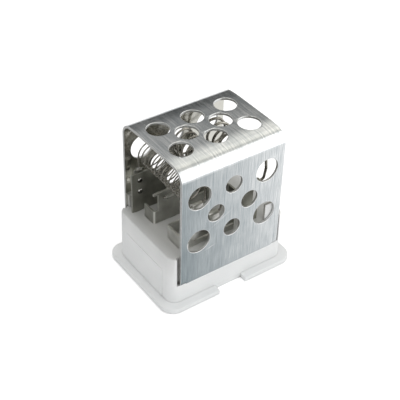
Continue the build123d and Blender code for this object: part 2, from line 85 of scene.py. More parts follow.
def add_node(tree, kind, inputs=None, **settings):
    """Adds a node with its settings. An input is a value, or a node or output to link: of a
    node, the first output in use is taken. A mix node's inputs are 0 for the share, 2 and 3 for
    numbers, and 6 and 7 for colours."""
    node = tree.nodes.new(kind)
    for name, value in settings.items():
        setattr(node, name, value)
    for key, value in (inputs or {}).items():
        if isinstance(value, bpy.types.Node):
            value = next(output for output in value.outputs if output.enabled)
        if isinstance(value, bpy.types.NodeSocket):
            tree.links.new(value, node.inputs[key])
        else:
            node.inputs[key].default_value = value
    return node


def start_material(name):
    """Empty material with its object coordinates."""
    material = bpy.data.materials.new(name)
    material.use_nodes = True
    tree = material.node_tree
    tree.nodes.clear()
    place = add_node(tree, "ShaderNodeTexCoord").outputs["Object"]
    return material, tree, place


def finish_material(tree, shader_inputs):
    """Principled surface with the given inputs, wired to the material output."""
    shader = add_node(tree, "ShaderNodeBsdfPrincipled", shader_inputs)
    add_node(tree, "ShaderNodeOutputMaterial", {"Surface": shader})


def mottle(tree, place, size_mm, first, second, detail=3.0):
    """Uneven surface: a share from 0 to 1 in blotches of size_mm, and the colour between first
    and second that it gives."""
    blotch = add_node(
        tree, "ShaderNodeTexNoise", {"Vector": place, "Scale": cells(size_mm), "Detail": detail}
    )
    share = add_node(
        tree,
        "ShaderNodeMapRange",
        {"Value": blotch, "From Min": NOISE_LOW, "From Max": NOISE_HIGH},
    )
    tone = add_node(tree, "ShaderNodeMix", {0: share, 6: first, 7: second}, data_type="RGBA")
    return share, tone


def relief(tree, place, size_mm, depth_mm, strength):
    """Normal of a surface with bumps of size_mm, depth_mm deep."""
    height = add_node(
        tree, "ShaderNodeTexNoise", {"Vector": place, "Scale": cells(size_mm), "Detail": 3.0}
    )
    return add_node(
        tree, "ShaderNodeBump", {"Strength": strength, "Distance": depth_mm * MM, "Height": height}
    )


def outer_edge_band(tree, radius_mm):
    """0 on open faces and 1 along outer edges, within radius_mm of them."""
    rounded = add_node(tree, "ShaderNodeBevel", {"Radius": radius_mm * MM}, samples=6)
    flat = add_node(tree, "ShaderNodeNewGeometry").outputs["Normal"]
    facing = add_node(tree, "ShaderNodeVectorMath", {0: rounded, 1: flat}, operation="DOT_PRODUCT")
    return add_node(
        tree,
        "ShaderNodeMapRange",
        {"Value": facing.outputs["Value"], "From Min": OPEN_COSINE, "From Max": EDGE_COSINE},
    )


def upright_bend_band(tree):
    """1 along the middle of upright bends, where a strip takes its edge tone; on the terminals
    that is a painted highlight.
    """
    normal = add_node(tree, "ShaderNodeTexCoord").outputs["Normal"]
    facing = add_node(tree, "ShaderNodeSeparateXYZ", {"Vector": normal})
    slant = add_node(
        tree,
        "ShaderNodeMath",
        {0: facing.outputs["X"], 1: facing.outputs["Y"]},
        operation="MULTIPLY",
    )
    turned = add_node(tree, "ShaderNodeMath", {0: slant}, operation="ABSOLUTE")
    return add_node(
        tree,
        "ShaderNodeMapRange",
        {"Value": turned, "From Min": BEND_BORDER, "From Max": BEND_MIDDLE},
    )


# Finishes

# A brush mark is about this many times as long as it is wide
GRAIN_STRETCH = 45
# A brush stroke is this many times as wide as one mark
STROKE_WIDTH = 5
# Shares of the strokes in the grain, and of the stains in the sheet's tone
STROKE_SHARE, STAIN_SHARE = 0.12, 0.22
# The grain's value in the grooves and on the ridges of the brush marks
GROOVE_VALUE, RIDGE_VALUE = 0.38, 0.62
# Painted shade on the sides, darker towards the open end and the foot in place of a dimmer
# reflection there: it grows this way, from none to its darkest
SIDE_SHADE_HEADING = (-1, 0, -0.35)
SIDE_SHADE_START, SIDE_SHADE_END = -50 * MM, 22 * MM
# It starts in the fold, this share of the bend radius under the top
SIDE_SHADE_EDGE = 0.8
# Start and end of the scratches on the near side, x and z in millimetres, and half their width
SCRATCHES = [((-11.5, 35.0), (1.5, 42.0)), ((-13.5, 25.0), (-7.5, 26.5))]
SCRATCH_HALF_WIDTH = 0.22 * MM


def brushed_aluminium(looks):
    """Aluminium sheet brushed along the strip before folding: fine streaks that run over the
    folds, a sheen spread across them, painted shade that darkens the sides towards the open end
    and the foot, and two light scratches."""
    material, tree, place = start_material("brushed_aluminium_sheet")
    along = add_node(
        tree,
        "ShaderNodeMapping",
        {"Vector": place, "Scale": (1, 1 / GRAIN_STRETCH, 1 / GRAIN_STRETCH)},
    )
    # Real brush marks are about 0.05 mm wide, which the render can't show, so they are drawn
    # at the width that the settings give
    hair = add_node(
        tree,
        "ShaderNodeTexNoise",
        {"Vector": along, "Scale": 1 / looks.grain_width, "Detail": 3.0, "Roughness": 0.6},
    )
    stroke = add_node(
        tree,
        "ShaderNodeTexNoise",
        {"Vector": along, "Scale": 1 / (STROKE_WIDTH * looks.grain_width), "Detail": 1.0},
    )
    stain = add_node(
        tree, "ShaderNodeTexNoise", {"Vector": place, "Scale": cells(11.0), "Detail": 3.0}
    )
    grain = add_node(
        tree, "ShaderNodeMix", {0: STROKE_SHARE, 2: hair, 3: stroke}, data_type="FLOAT"
    )
    uneven = add_node(
        tree, "ShaderNodeMix", {0: STAIN_SHARE, 2: grain, 3: stain}, data_type="FLOAT"
    )
    share = add_node(
        tree,
        "ShaderNodeMapRange",
        {"Value": uneven, "From Min": GROOVE_VALUE, "From Max": RIDGE_VALUE},
    )
    brushed = add_node(
        tree,
        "ShaderNodeMix",
        {0: share, 6: looks.groove_colour, 7: looks.metal_colour},
        data_type="RGBA",
    )
    # Painted shade: a grey tone multiplied over the sides, darkest at the foot of the open end,
    # stands in for the dimmer reflection there
    at = add_node(tree, "ShaderNodeSeparateXYZ", {"Vector": place})
    leftward = add_node(
        tree, "ShaderNodeVectorMath", {0: place, 1: SIDE_SHADE_HEADING}, operation="DOT_PRODUCT"
    )
    thickness = add_node(
        tree,
        "ShaderNodeMapRange",
        {
            "Value": leftward.outputs["Value"],
            "From Min": SIDE_SHADE_START,
            "From Max": SIDE_SHADE_END,
            "To Max": looks.side_shade,
        },
    )
    on_side = add_node(
        tree,
        "ShaderNodeMapRange",
        {
            "Value": at.outputs["Z"],
            "From Min": GUARD_HIGH.z - SIDE_SHADE_EDGE * looks.bend,
            "From Max": GUARD_HIGH.z - looks.bend,
        },
    )
    side_shade = add_node(tree, "ShaderNodeMath", {0: thickness, 1: on_side}, operation="MULTIPLY")
    tone = add_node(
        tree,
        "ShaderNodeMix",
        {0: side_shade, 6: brushed, 7: looks.side_shade_colour},
        data_type="RGBA",
        blend_type="MULTIPLY",
    )
    for start, end in SCRATCHES:
        tone = add_node(
            tree,
            "ShaderNodeMix",
            {0: scratch_share(tree, place, start, end), 6: tone, 7: looks.scratch_colour},
            data_type="RGBA",
        )
    rough = add_node(
        tree,
        "ShaderNodeMapRange",
        {
            "Value": uneven,
            "From Min": NOISE_LOW,
            "From Max": NOISE_HIGH,
            "To Min": 0.21,
            "To Max": 0.28,
        },
    )
    bump = add_node(
        tree, "ShaderNodeBump", {"Strength": 0.12, "Distance": 0.02 * MM, "Height": hair}
    )
    tangent = add_node(tree, "ShaderNodeTangent", direction_type="RADIAL", axis="X")
    finish_material(
        tree,
        {
            "Base Color": tone,
            "Metallic": 1.0,
            "Roughness": rough,
            "Anisotropic": 0.7,
            "Anisotropic Rotation": 0.25,
            "Tangent": tangent,
            "Normal": bump,
        },
    )
    return material


def scratch_share(tree, place, start, end):
    """1 on the middle of a thin scratch of the near side, which fades to 0 away from it."""
    middle = Vector(((start[0] + end[0]) / 2, 0, (start[1] + end[1]) / 2)) * MM
    run = Vector((end[0] - start[0], 0, end[1] - start[1]))
    local = add_node(tree, "ShaderNodeVectorMath", {0: place, 1: middle}, operation="SUBTRACT")
    along = add_node(
        tree, "ShaderNodeVectorMath", {0: local, 1: run.normalized()}, operation="DOT_PRODUCT"
    )
    across = add_node(
        tree,
        "ShaderNodeVectorMath",
        {0: local, 1: Vector((-run.z, 0, run.x)).normalized()},
        operation="DOT_PRODUCT",
    )
    depth = add_node(tree, "ShaderNodeSeparateXYZ", {"Vector": place}).outputs["Y"]
    share = add_node(tree, "ShaderNodeMath", {0: depth, 1: 0.0}, operation="LESS_THAN")
    for distance, reach in (
        (across.outputs["Value"], SCRATCH_HALF_WIDTH),
        (along.outputs["Value"], run.length / 2 * MM),
    ):
        span = add_node(tree, "ShaderNodeMath", {0: distance}, operation="ABSOLUTE")
        inside = add_node(
            tree, "ShaderNodeMapRange", {"Value": span, "From Min": reach, "From Max": 0.0}
        )
        share = add_node(tree, "ShaderNodeMath", {0: share, 1: inside}, operation="MULTIPLY")
    return share


def mill_aluminium(looks):
    """Inner side of the sheet, as the mill's rolls left it: smoother and darker, with oil
    stains and no brush marks."""
    material, tree, place = start_material("mill_finish_aluminium")
    stain, tone = mottle(tree, place, 9.0, looks.inner_colour, looks.inner_stain, detail=4.0)
    rough = add_node(tree, "ShaderNodeMapRange", {"Value": stain, "To Min": 0.12, "To Max": 0.2})
    finish_material(
        tree,
        {
            "Base Color": tone,
            "Metallic": 1.0,
            "Roughness": rough,
            "Normal": relief(tree, place, size_mm=0.8, depth_mm=0.02, strength=0.1),
        },
    )
    return material


def sheared_aluminium(looks):
    """Punched walls and cut edges of the sheet: bare bright metal with fine tear marks across
    its thickness."""
    material, tree, place = start_material("sheared_aluminium_edge")
    tears, tone = mottle(tree, place, 0.35, looks.tear_colour, looks.edge_colour)
    rough = add_node(tree, "ShaderNodeMapRange", {"Value": tears, "To Min": 0.28, "To Max": 0.42})
    finish_material(
        tree,
        {
            "Base Color": tone,
            "Metallic": 1.0,
            "Roughness": rough,
            "Normal": relief(tree, place, size_mm=0.35, depth_mm=0.03, strength=0.3),
        },
    )
    return material


# Painted shade: the tone darkens by this share in deep gaps, down to none in open ones. The
# openness of a place is the share of its surroundings that is free.
GAP_SHADE = 0.95
DEEP_OPENNESS, UNSHADED_OPENNESS = 0.1, 0.6
# Inner corners get a little painted shade, and flat faces none
CORNER_SHADE = 0.2
CORNER_OPENNESS, FACE_OPENNESS = 0.5, 0.9
# Heights between which painted shade on the plastic under the guard deepens upwards, warm-tinted
# as a painted reflection of the metal
GUARD_SHADE_START, GUARD_SHADE_END = 15 * MM, 36 * MM
# Where that painted shade starts and stops fading, outwards from the guard's ends and from its
# sides
GUARD_SHADE_END_FADE = (-1 * MM, 7 * MM)
GUARD_SHADE_SIDE_FADE = (-1.6 * MM, -1.1 * MM)


def moulded_nylon(looks):
    """White glass-filled nylon, injection moulded: satin skin with a fine spark-eroded grain, a
    faint cloudiness from the flow, slightly polished edges that are lighter as a painted
    highlight, painted shade in its narrow gaps and inner corners, and painted shade with a warm
    cast under the guard."""
    material, tree, place = start_material("moulded_white_nylon")
    _, body = mottle(tree, place, 14.0, looks.shade_colour, looks.plastic_colour)
    polish_and_highlight = outer_edge_band(tree, radius_mm=0.5)
    # The edges are glossier where polished, and lighter as a painted highlight
    before_shade = add_node(
        tree, "ShaderNodeMix", {0: polish_and_highlight, 6: body, 7: looks.edge_colour}, data_type="RGBA"
    )
    # Painted shade: dark grey in narrow gaps and inner corners, placed by how enclosed each point
    # is
    open_air = add_node(
        tree, "ShaderNodeAmbientOcclusion", {"Distance": looks.gap_shade_reach}, samples=8
    )
    gap_shade = add_node(
        tree,
        "ShaderNodeMapRange",
        {
            "Value": open_air.outputs["AO"],
            "From Min": UNSHADED_OPENNESS,
            "From Max": DEEP_OPENNESS,
            "To Max": GAP_SHADE,
        },
    )
    corner = add_node(
        tree, "ShaderNodeAmbientOcclusion", {"Distance": looks.crease_shade_reach}, samples=8
    )
    crease_shade = add_node(
        tree,
        "ShaderNodeMapRange",
        {
            "Value": corner.outputs["AO"],
            "From Min": FACE_OPENNESS,
            "From Max": CORNER_OPENNESS,
            "To Max": CORNER_SHADE,
        },
    )
    gap_and_crease_shade = add_node(tree, "ShaderNodeMath", {0: gap_shade, 1: crease_shade}, operation="MAXIMUM")
    gap_shaded = add_node(
        tree, "ShaderNodeMix", {0: gap_and_crease_shade, 6: before_shade, 7: looks.gap_shade_colour}, data_type="RGBA"
    )
    # Painted shade under the guard, with a warm cast standing in for light off the metal
    tone = add_node(
        tree,
        "ShaderNodeMix",
        {0: under_guard(tree, place), 6: gap_shaded, 7: looks.guard_shade_colour},
        data_type="RGBA",
        blend_type="MULTIPLY",
    )
    rough = add_node(tree, "ShaderNodeMapRange", {"Value": polish_and_highlight, "To Min": 0.55, "To Max": 0.42})
    finish_material(
        tree,
        {
            "Base Color": tone,
            "Roughness": rough,
            "IOR": 1.53,
            "Normal": relief(tree, place, looks.skin_grain / MM, depth_mm=0.03, strength=0.2),
        },
    )
    return material


def under_guard(tree, place):
    """0 outside the guard and up to 1 on the deck and posts under it, where painted shade darkens
    the plastic.
    """
    at = add_node(tree, "ShaderNodeSeparateXYZ", {"Vector": place})
    share = 1.0
    for axis, reach, (inside, outside) in (
        ("X", GUARD_HIGH.x, GUARD_SHADE_END_FADE),
        ("Y", GUARD_HIGH.y, GUARD_SHADE_SIDE_FADE),
    ):
        span = add_node(tree, "ShaderNodeMath", {0: at.outputs[axis]}, operation="ABSOLUTE")
        near = add_node(
            tree,
            "ShaderNodeMapRange",
            {"Value": span, "From Min": reach + outside, "From Max": reach + inside},
        )
        share = add_node(tree, "ShaderNodeMath", {0: share, 1: near}, operation="MULTIPLY")
    shade_rise = add_node(
        tree,
        "ShaderNodeMapRange",
        {"Value": at.outputs["Z"], "From Min": GUARD_SHADE_START, "From Max": GUARD_SHADE_END},
    )
    return add_node(tree, "ShaderNodeMath", {0: share, 1: shade_rise}, operation="MULTIPLY")


def drawn_wire(looks):
    """Nickel-chrome resistance wire, drawn bright and then browned by the first heat: glossy,
    under a thin uneven oxide."""
    material, tree, place = start_material("nickel_chrome_wire")
    oxide, tone = mottle(tree, place, 3.0, looks.wire_colour, looks.oxide_colour)
    rough = add_node(tree, "ShaderNodeMapRange", {"Value": oxide, "To Min": 0.16, "To Max": 0.3})
    finish_material(
        tree,
        {
            "Base Color": tone,
            "Metallic": 1.0,
            "Roughness": rough,
            "Normal": relief(tree, place, size_mm=0.25, depth_mm=0.01, strength=0.08),
        },
    )
    return material


# Lowest and highest roughness of tinned and plated metal, from the dullest to the glossiest
DULL_TIN = (0.5, 0.65)
MATT_TIN = (0.3, 0.45)
BRIGHT_TIN = (0.25, 0.4)
SMOOTH_PLATING = (0.2, 0.34)
POLISHED_PLATING = (0.1, 0.2)


def stamped_strip(name, face, dull, edge, roughness):
    """Tinned or plated strip, stamped and folded: soft blotches in the tin, a fine grain from
    the rolls, and an edge tone on sheared edges and upright bends. On the terminals that tone is
    lighter: partly bare cut metal on the edges, otherwise a painted highlight."""
    material, tree, place = start_material(name)
    blotch, tin = mottle(tree, place, 5.0, dull, face, detail=4.0)
    edges_and_bends = add_node(
        tree,
        "ShaderNodeMath",
        {0: outer_edge_band(tree, radius_mm=0.35), 1: upright_bend_band(tree)},
        operation="MAXIMUM",
    )
    tone = add_node(tree, "ShaderNodeMix", {0: edges_and_bends, 6: tin, 7: edge}, data_type="RGBA")
    low, high = roughness
    rough = add_node(tree, "ShaderNodeMapRange", {"Value": blotch, "To Min": low, "To Max": high})
    finish_material(
        tree,
        {
            "Base Color": tone,
            "Metallic": 1.0,
            "Roughness": rough,
            "Normal": relief(tree, place, size_mm=0.5, depth_mm=0.02, strength=0.12),
        },
    )
    return material


def soft_solder(looks):
    """Tin solder, run round the wire and frozen: bright with a frosty, slightly lumpy skin."""
    material, tree, place = start_material("tin_solder")
    frost, tone = mottle(tree, place, 0.6, looks.solder_shade, looks.solder_colour)
    rough = add_node(tree, "ShaderNodeMapRange", {"Value": frost, "To Min": 0.22, "To Max": 0.45})
    finish_material(
        tree,
        {
            "Base Color": tone,
            "Metallic": 1.0,
            "Roughness": rough,
            "Normal": relief(tree, place, size_mm=0.6, depth_mm=0.12, strength=0.5),
        },
    )
    return material


def cast_resin(looks):
    """Epoxy resin that seals the cut-off: glossy, with small darker pits."""
    material, tree, place = start_material("cast_epoxy_resin")
    pits, tone = mottle(tree, place, 0.7, looks.resin_shade, looks.resin_colour)
    rough = add_node(tree, "ShaderNodeMapRange", {"Value": pits, "To Min": 0.2, "To Max": 0.35})
    finish_material(
        tree,
        {
            "Base Color": tone,
            "Roughness": rough,
            "IOR": 1.55,
            "Normal": relief(tree, place, size_mm=0.7, depth_mm=0.08, strength=0.3),
        },
    )
    return material


def dress_nodes(material, names):
    """Gives CAD nodes their finish, in the material slots that they came with."""
    for name in names:
        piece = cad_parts[name]
        for held in piece.material_slots:
            held.material = material


# Guard

# Share of a staked corner's width in which it bends inwards
STAKE_SHOULDER = 0.12
# Cuts across each drawn band of the top, so that it curves when it is folded
DRAWN_SLICES = 6
# Points of the blank closer than this are welded, in millimetres
WELD_DISTANCE = 0.001
# Least height of a unit normal on the two faces of the flat blank
FLAT_COSINE = 0.99
# Faces that meet at more than this angle keep a sharp edge
SHARP_ANGLE = radians(50)
# Places of the finishes in the guard's mesh: its brushed and its inner face, and its cut edges
OUTER, INNER, CUT = 0, 1, 2


def hole_points(centre, radius, sides):
    """Points round a hole of the flat blank, clockwise and in millimetres."""
    step = -2 * pi / sides
    return [
        (centre[0] + radius * cos(step * i), centre[1] + radius * sin(step * i))
        for i in range(sides)
    ]


class GuardPlan:
    """The guard's sizes in millimetres, its flat blank and the way it folds."""

    def __init__(self, looks):
        self.sheet = looks.sheet / MM
        self.edge = looks.edge_round / MM
        self.half_length = (GUARD_HIGH.x - GUARD_LOW.x) / 2 / MM
        self.half_width = (GUARD_HIGH.y - GUARD_LOW.y) / 2 / MM
        self.top = GUARD_HIGH.z / MM
        self.foot = GUARD_LOW.z / MM
        # A fold: its outer radius, that of the sheet's middle, and the length of that arc
        self.bend = looks.bend / MM
        self.middle = self.bend - self.sheet / 2
        self.arc = self.middle * pi / 2
        # Half of the flat top's width, and the height at which a side starts
        self.flat = self.half_width - self.bend
        self.bend_z = self.top - self.bend
        # A staked corner: the height and x at which it starts, and the band in which it bends
        self.stake_z = self.foot + looks.stake_height / MM
        self.stake_x = self.half_length - looks.stake_width / MM
        self.shoulder = STAKE_SHOULDER * (self.half_length - self.stake_x)
        self.stake_push = looks.stake_push / MM
        self.draw_width = looks.draw_width / MM
        self.draw_depth = looks.draw_depth / MM

    def reach(self, z):
        """Distance along the strip from the middle of the top to a height on a side."""
        return self.flat + self.arc + self.bend_z - z

    def fold(self, x, v, w):
        """Place of a point of the blank at x, v along the strip and w out of its middle."""
        side = -1 if v < 0 else 1
        run = abs(v)
        if run <= self.flat:
            return Vector((x, v, self.top - self.sheet / 2 + w - self.sag(run)))
        if run <= self.flat + self.arc:
            turned = (run - self.flat) / self.middle
            reach = self.middle + w
            y = self.flat + reach * sin(turned)
            drop = self.sag(self.flat) * cos(turned)
            return Vector((x, side * y, self.bend_z + reach * cos(turned) - drop))
        z = self.bend_z - (run - self.flat - self.arc)
        return Vector((x, side * (self.half_width - self.sheet / 2 + w - self.push(x, z)), z))

    def sag(self, run):
        """How far the top is drawn down before a fold, by the pull of the folding press."""
        near = max(run - self.flat + self.draw_width, 0) / self.draw_width
        return self.draw_depth * near * near

    def push(self, x, z):
        """How far a staked corner is pressed inwards at a place on a side."""
        down = (self.stake_z - z) / (self.stake_z - self.foot)
        across = (abs(x) - self.stake_x) / self.shoulder
        return self.stake_push * min(max(down, 0), 1) * min(max(across, 0), 1)


def guard_blank(plan, looks):
    """Flat blank of the guard with its holes and rounded edges, as a mesh in millimetres."""
    outline = [
        (-plan.half_length, -plan.reach(plan.foot)),
        (plan.half_length, -plan.reach(plan.foot)),
        (plan.half_length, plan.reach(plan.foot)),
        (-plan.half_length, plan.reach(plan.foot)),
    ]
    # Each face has eight holes. A hole's place is its distance along the guard, and its row.
    pitch = looks.hole_pitch / MM
    corners = [(x, row) for x in (-pitch, pitch) for row in (-1, 1)]
    middles = [(0, -1), (0, 1)]
    inner = [(-pitch / 2, 0), (pitch / 2, 0)]
    holes = []
    for x, row in corners + middles + inner:
        holes.append(((x, row * looks.top_row / MM), looks.top_hole / 2 / MM))
        wide = abs(x) == pitch
        bore = (looks.corner_hole if wide else looks.inner_hole) / 2 / MM
        v = plan.reach((looks.hole_z + row * looks.side_row) / MM)
        holes += [((x, v), bore), ((x, -v), bore)]
    curve = bpy.data.curves.new("guard_blank", "CURVE")
    curve.dimensions = "2D"
    curve.fill_mode = "BOTH"
    curve.extrude = plan.sheet / 2 - plan.edge
    curve.bevel_depth = plan.edge
    curve.bevel_resolution = 2
    curve.offset = -plan.edge
    loops = [outline] + [hole_points(at, bore, looks.hole_sides) for at, bore in holes]
    for points in loops:
        spline = curve.splines.new("POLY")
        spline.points.add(len(points) - 1)
        for point, (x, y) in zip(spline.points, points):
            point.co = (x, y, 0, 1)
        spline.use_cyclic_u = True
    blank = bpy.data.objects.new("guard_blank", curve)
    mesh = bpy.data.meshes.new_from_object(blank)
    bpy.data.objects.remove(blank)
    bpy.data.curves.remove(curve)
    return mesh


def guard_cuts(plan, looks):
    """Planes that divide the blank where it bends: point and normal of each."""
    slices = looks.bend_slices
    places = [plan.flat + plan.arc * i / slices for i in range(slices + 1)]
    places += [
        plan.flat - plan.draw_width * i / DRAWN_SLICES for i in range(1, DRAWN_SLICES + 1)
    ]
    places += [plan.reach(plan.stake_z), plan.reach((plan.stake_z + plan.foot) / 2)]
    cuts = [((0, side * v, 0), (0, 1, 0)) for v in places for side in (-1, 1)]
    borders = (plan.stake_x, plan.stake_x + plan.shoulder)
    cuts += [((side * x, 0, 0), (1, 0, 0)) for x in borders for side in (-1, 1)]
    return cuts


def build_guard(looks):
    """The folded guard as an object in the row frame, with its three finishes."""
    plan = GuardPlan(looks)
    mesh = guard_blank(plan, looks)
    shape = bmesh.new()
    shape.from_mesh(mesh)
    bmesh.ops.remove_doubles(shape, verts=shape.verts, dist=WELD_DISTANCE)
    for point, normal in guard_cuts(plan, looks):
        everything = shape.verts[:] + shape.edges[:] + shape.faces[:]
        bmesh.ops.bisect_plane(shape, geom=everything, plane_co=point, plane_no=normal)
    bmesh.ops.recalc_face_normals(shape, faces=shape.faces)
    for face in shape.faces:
        face.normal_update()
        face.smooth = True
        if face.normal.z > FLAT_COSINE:
            face.material_index = OUTER
        elif face.normal.z < -FLAT_COSINE:
            face.material_index = INNER
        else:
            face.material_index = CUT
    for vertex in shape.verts:
        vertex.co = plan.fold(*vertex.co) * MM
    for finish in (brushed_aluminium, mill_aluminium, sheared_aluminium):
        mesh.materials.append(finish(looks))
    shape.to_mesh(mesh)
    shape.free()
    mesh.set_sharp_from_angle(angle=SHARP_ANGLE)
    guard = bpy.data.objects.new("folded_guard", mesh)
    # At full weight the large faces rule the shading, and the flats stay flat up to the rims
    even = guard.modifiers.new("even_flats", "WEIGHTED_NORMAL")
    even.mode = "FACE_AREA"
    even.weight = 100
    even.keep_sharp = True
    bpy.context.scene.collection.objects.link(guard)
    return guard


# Studio

# Name, heading from the part, distance, width and length, power in watts and colour of each
# lamp, with lengths in metres
STUDIO_LAMPS = [
    ("key_softbox", (0.62, -0.683, 0.384), 0.34, (0.40, 0.524), 0.523, "#FFFFFF"),
    ("front_softbox", (-0.12, -0.97, 0.20), 0.60, (0.40, 0.40), 0.37, "#FFFFFF"),
    ("overhead_softbox", (0.41, 0.33, 0.85), 0.50, (0.80, 0.30), 0.28, "#FFFAEC"),
    ("left_softbox", (-0.85, -0.30, 0.42), 0.60, (0.40, 0.40), 0.53, "#FFFFFF"),
]
WHITE = (1, 1, 1, 1)
# The far board fades in between these heights of a unit heading
BOARD_FOOT, BOARD_BODY = 0.0, 0.2
# The wall turns to its left tone between these values of a unit heading's x
LEFT_START, LEFT_END = 0.1, -0.8
# The paper lies this far under the flange, so that the two never share a plane
FLOOR_GAP = 0.02 * MM
FLOOR_SIDES = 96
# Width of the camera's sensor in millimetres, and its nearest and farthest sight in metres
SENSOR_WIDTH = 36
NEAREST, FARTHEST = 0.01, 20


def add_softbox(name, target, heading, distance, size, power, tone):
    """Rectangular lamp that faces the target from a heading, its width along the part."""
    light = bpy.data.lights.new(name, "AREA")
    light.shape = "RECTANGLE"
    light.size, light.size_y = size
    light.energy = power
    light.color = linear(tone)[:3]
    lamp = bpy.data.objects.new(name, light)
    back = Vector(heading).normalized()
    wide = Vector((1, 0, 0)) - back.x * back
    wide.normalize()
    turn = Matrix((wide, back.cross(wide), back)).transposed().to_4x4()
    lamp.matrix_world = Matrix.Translation(target + back * distance) @ turn
    bpy.context.scene.collection.objects.link(lamp)


def floor_material(studio):
    """White studio paper: matt, with a soft tooth, lifted to plain white for the camera."""
    material, tree, place = start_material("white_studio_paper")
    _, tone = mottle(tree, place, 1.5, studio.paper_shade, studio.paper_colour)
    paper = add_node(tree, "ShaderNodeBsdfDiffuse", {"Color": tone})
    glow = add_node(
        tree, "ShaderNodeEmission", {"Color": WHITE, "Strength": studio.floor_lift}
    )
    lit = add_node(tree, "ShaderNodeAddShader", {0: paper, 1: glow})
    shown = add_node(tree, "ShaderNodeMixShader", {0: background_ray(tree), 1: paper, 2: lit})
    # Gloss passes the paper and takes the studio's tone, white and grey, from the world
    glossy = add_node(tree, "ShaderNodeLightPath").outputs["Is Glossy Ray"]
    clear = add_node(tree, "ShaderNodeBsdfTransparent")
    surface = add_node(tree, "ShaderNodeMixShader", {0: glossy, 1: shown, 2: clear})
    add_node(tree, "ShaderNodeOutputMaterial", {"Surface": surface})
    return material


def background_ray(tree):
    """1 for a ray that shows the background to the camera, straight or through something
    clear."""
    ray = add_node(tree, "ShaderNodeLightPath")
    return add_node(
        tree,
        "ShaderNodeMath",
        {0: ray.outputs["Is Camera Ray"], 1: ray.outputs["Is Transmission Ray"]},
        operation="MAXIMUM",
    )


def build_world(studio):
    """Plain studio: white for the camera, a soft fill for matt surfaces that is weaker near the
    floor, and for gloss white walls under a greyer ceiling, a grey left side and a dim board
    behind."""
    world = bpy.data.worlds.new("studio")
    world.use_nodes = True
    tree = world.node_tree
    tree.nodes.clear()
    heading = add_node(tree, "ShaderNodeTexCoord").outputs["Generated"]
    axes = add_node(tree, "ShaderNodeSeparateXYZ", {"Vector": heading})
    height = axes.outputs["Z"]
    toward = add_node(
        tree,
        "ShaderNodeVectorMath",
        {0: heading, 1: Vector(studio.far_heading).normalized()},
        operation="DOT_PRODUCT",
    )
    behind = add_node(
        tree,
        "ShaderNodeMapRange",
        {
            "Value": toward.outputs["Value"],
            "From Min": studio.far_start,
            "From Max": studio.far_end,
        },
    )
    lifted = add_node(
        tree,
        "ShaderNodeMapRange",
        {"Value": height, "From Min": BOARD_FOOT, "From Max": BOARD_BODY},
    )
    board = add_node(tree, "ShaderNodeMath", {0: behind, 1: lifted}, operation="MULTIPLY")
    above = add_node(
        tree,
        "ShaderNodeMapRange",
        {"Value": height, "From Min": studio.ceiling_start, "From Max": studio.ceiling_end},
    )
    leftward = add_node(
        tree,
        "ShaderNodeMapRange",
        {"Value": axes.outputs["X"], "From Min": LEFT_START, "From Max": LEFT_END},
    )
    sides = add_node(
        tree,
        "ShaderNodeMix",
        {0: leftward, 6: studio.wall_colour, 7: studio.left_colour},
        data_type="RGBA",
    )
    room = add_node(
        tree, "ShaderNodeMix", {0: above, 6: sides, 7: studio.ceiling_colour}, data_type="RGBA"
    )
    mirrored = add_node(
        tree, "ShaderNodeMix", {0: board, 6: room, 7: studio.far_colour}, data_type="RGBA"
    )
    soft = add_node(
        tree, "ShaderNodeMix", {0: height, 6: studio.fill_colour, 7: WHITE}, data_type="RGBA"
    )
    white = add_node(tree, "ShaderNodeBackground", {"Color": WHITE})
    gloss = add_node(tree, "ShaderNodeBackground", {"Color": mirrored})
    fill = add_node(
        tree, "ShaderNodeBackground", {"Color": soft, "Strength": studio.world_light}
    )
    glossy = add_node(tree, "ShaderNodeLightPath").outputs["Is Glossy Ray"]
    light = add_node(tree, "ShaderNodeMixShader", {0: glossy, 1: fill, 2: gloss})
    shown = add_node(tree, "ShaderNodeMixShader", {0: background_ray(tree), 1: light, 2: white})
    add_node(tree, "ShaderNodeOutputWorld", {"Surface": shown})
    bpy.context.scene.world = world


def build_floor(studio):
    """Round sheet of paper that the part stands on."""
    mesh = bpy.data.meshes.new("paper_floor")
    shape = bmesh.new()
    bmesh.ops.create_circle(shape, cap_ends=True, segments=FLOOR_SIDES, radius=studio.floor_size)
    shape.to_mesh(mesh)
    shape.free()
    mesh.materials.append(floor_material(studio))
    floor = bpy.data.objects.new("paper_floor", mesh)
    floor.location.z = -FLOOR_GAP
    bpy.context.scene.collection.objects.link(floor)
    return floor


def build_camera(studio):
    """Camera at the photograph's angle, with a small roll."""
    azimuth, elevation, roll = studio.azimuth, studio.elevation, studio.roll
    right = Vector((cos(azimuth), sin(azimuth), 0))
    back = Vector(
        (sin(azimuth) * cos(elevation), -cos(azimuth) * cos(elevation), sin(elevation))
    )
    up = back.cross(right)
    turned_right = right * cos(roll) + up * sin(roll)
    turned_up = up * cos(roll) - right * sin(roll)
    data = bpy.data.cameras.new("photo_camera")
    data.sensor_width = SENSOR_WIDTH
    data.lens = studio.lens
    data.clip_start = NEAREST
    data.clip_end = FARTHEST
    camera = bpy.data.objects.new("photo_camera", data)
    turn = Matrix((turned_right, turned_up, back)).transposed().to_4x4()
    place = Vector(studio.aim) + back * studio.distance
    camera.matrix_world = Matrix.Translation(place) @ turn
    bpy.context.scene.collection.objects.link(camera)
    bpy.context.scene.camera = camera


# Settings


def length(name, description, default):
    """Length property in metres."""
    return FloatProperty(
        name=name, description=description, default=default, unit="LENGTH", subtype="DISTANCE"
    )


def colour(name, description, default):
    """Colour property from an sRGB hex value."""
    return FloatVectorProperty(
        name=name, description=description, default=linear(default), size=4, subtype="COLOR"
    )


def angle(name, description, degrees):
    """Angle property from degrees."""
    return FloatProperty(
        name=name, description=description, default=radians(degrees), subtype="ANGLE"
    )


def amount(name, description, default):
    """Property with no unit."""
    return FloatProperty(name=name, description=description, default=default)


